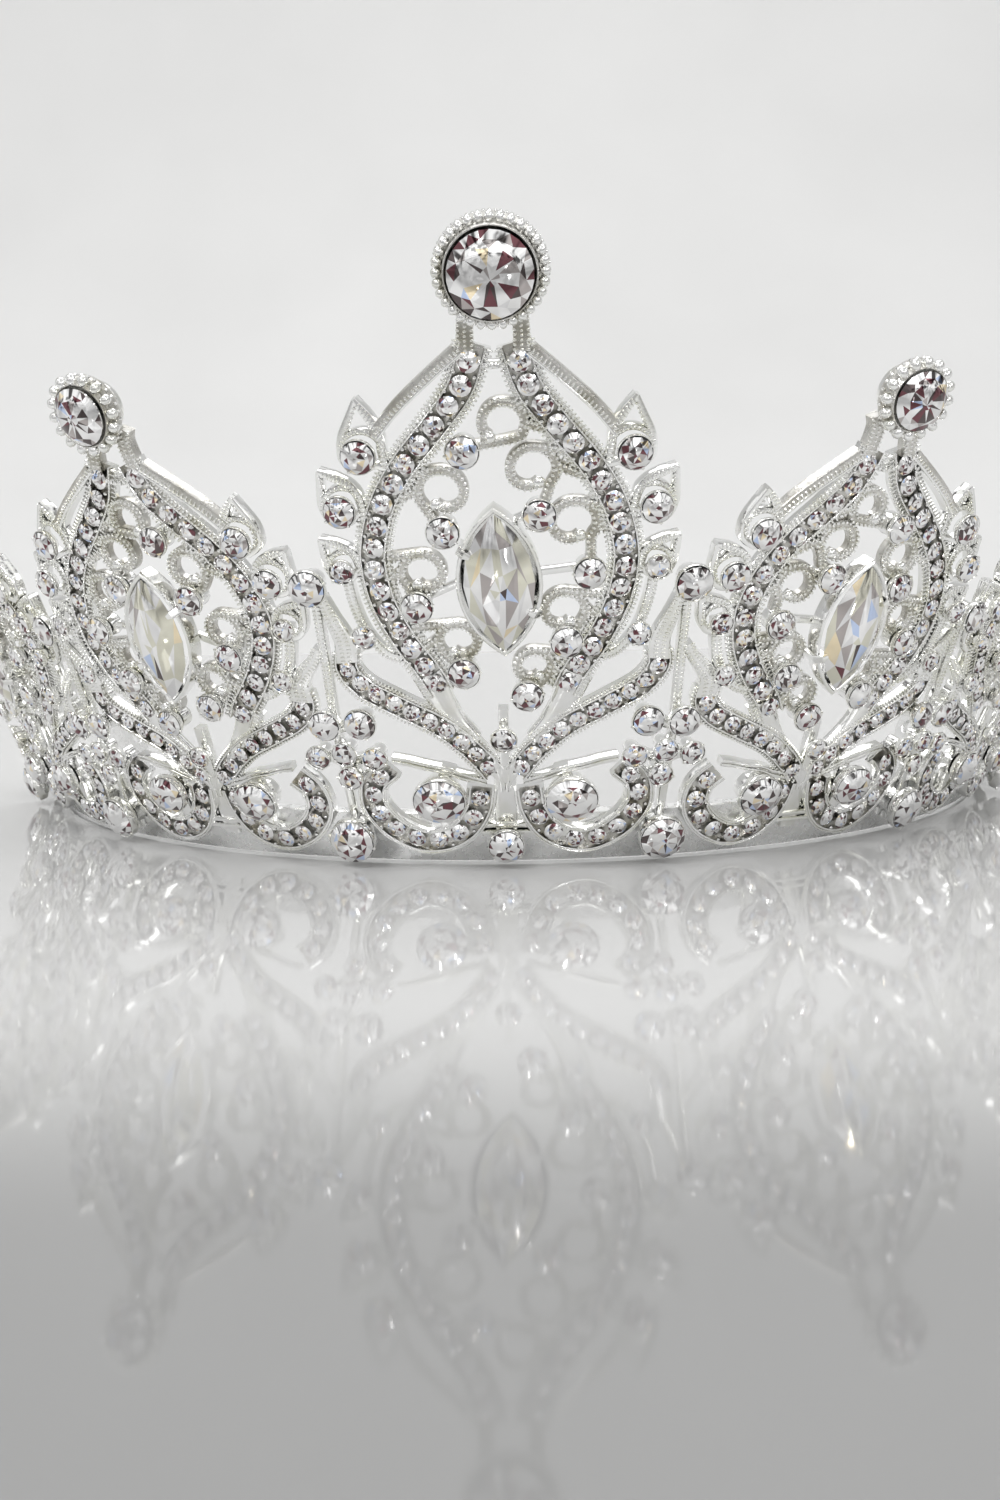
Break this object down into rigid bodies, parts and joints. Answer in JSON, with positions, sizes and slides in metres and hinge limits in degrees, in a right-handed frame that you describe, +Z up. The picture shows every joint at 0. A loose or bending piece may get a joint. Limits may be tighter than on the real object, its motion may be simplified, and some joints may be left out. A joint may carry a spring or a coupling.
{
  "type": "bridal tiara",
  "caption": "Open-back crown of pointed openwork panels with pave channels, marquise and round crystals, on a flat curved head band with pierced end tabs.",
  "frame": {"origin": "on the plane that the band's lower edge rests on, under the middle of the crown's length and width; the centre of the band's circle is 40.6 mm behind it, towards +Y", "axes": "+Z up; the centre panel is towards -Y and the open back towards +Y; +X is to the left of the wearer's own view, the right-hand side when the centre panel is looked at"},
  "size_m": [0.165, 0.1342, 0.072],
  "materials": {
    "silver_plate": "bright silver plate over cast alloy, beaded edges",
    "band_metal": "plain polished silver plated strip",
    "large_crystal": "clear faceted glass with a foil back",
    "small_crystal": "clear faceted glass with a foil back"
  },
  "bodies": {
    "root": {"headband": "band_metal", "left_end_tab": "band_metal", "right_end_tab": "band_metal", "junction_settings": "silver_plate", "junction_crystals": "small_crystal", "centre_frame": "silver_plate", "centre_finial_cup": "silver_plate", "centre_finial_crystal": "large_crystal", "centre_marquise_bezel": "silver_plate", "centre_marquise_crystal": "large_crystal", "centre_settings": "silver_plate", "centre_pave_crystals": "small_crystal", "centre_accent_crystals": "small_crystal", "centre_base_crystals": "small_crystal", "left_front_frame": "silver_plate", "left_front_finial_cup": "silver_plate", "left_front_finial_crystal": "large_crystal", "left_front_marquise_bezel": "silver_plate", "left_front_marquise_crystal": "large_crystal", "left_front_settings": "silver_plate", "left_front_pave_crystals": "small_crystal", "left_front_accent_crystals": "small_crystal", "left_front_base_crystals": "small_crystal", "right_front_frame": "silver_plate", "right_front_finial_cup": "silver_plate", "right_front_finial_crystal": "large_crystal", "right_front_marquise_bezel": "silver_plate", "right_front_marquise_crystal": "large_crystal", "right_front_settings": "silver_plate", "right_front_pave_crystals": "small_crystal", "right_front_accent_crystals": "small_crystal", "right_front_base_crystals": "small_crystal", "left_side_frame": "silver_plate", "left_side_finial_cup": "silver_plate", "left_side_finial_crystal": "large_crystal", "left_side_marquise_bezel": "silver_plate", "left_side_marquise_crystal": "large_crystal", "left_side_settings": "silver_plate", "left_side_pave_crystals": "small_crystal", "left_side_accent_crystals": "small_crystal", "left_side_base_crystals": "small_crystal", "right_side_frame": "silver_plate", "right_side_finial_cup": "silver_plate", "right_side_finial_crystal": "large_crystal", "right_side_marquise_bezel": "silver_plate", "right_side_marquise_crystal": "large_crystal", "right_side_settings": "silver_plate", "right_side_pave_crystals": "small_crystal", "right_side_accent_crystals": "small_crystal", "right_side_base_crystals": "small_crystal", "left_inner_junction": "silver_plate", "right_inner_junction": "silver_plate", "left_outer_junction": "silver_plate", "right_outer_junction": "silver_plate", "left_end_junction": "silver_plate", "right_end_junction": "silver_plate", "left_end_casting": "silver_plate", "left_end_crystals": "small_crystal", "right_end_casting": "silver_plate", "right_end_crystals": "small_crystal"}
  },
  "joints": []
}
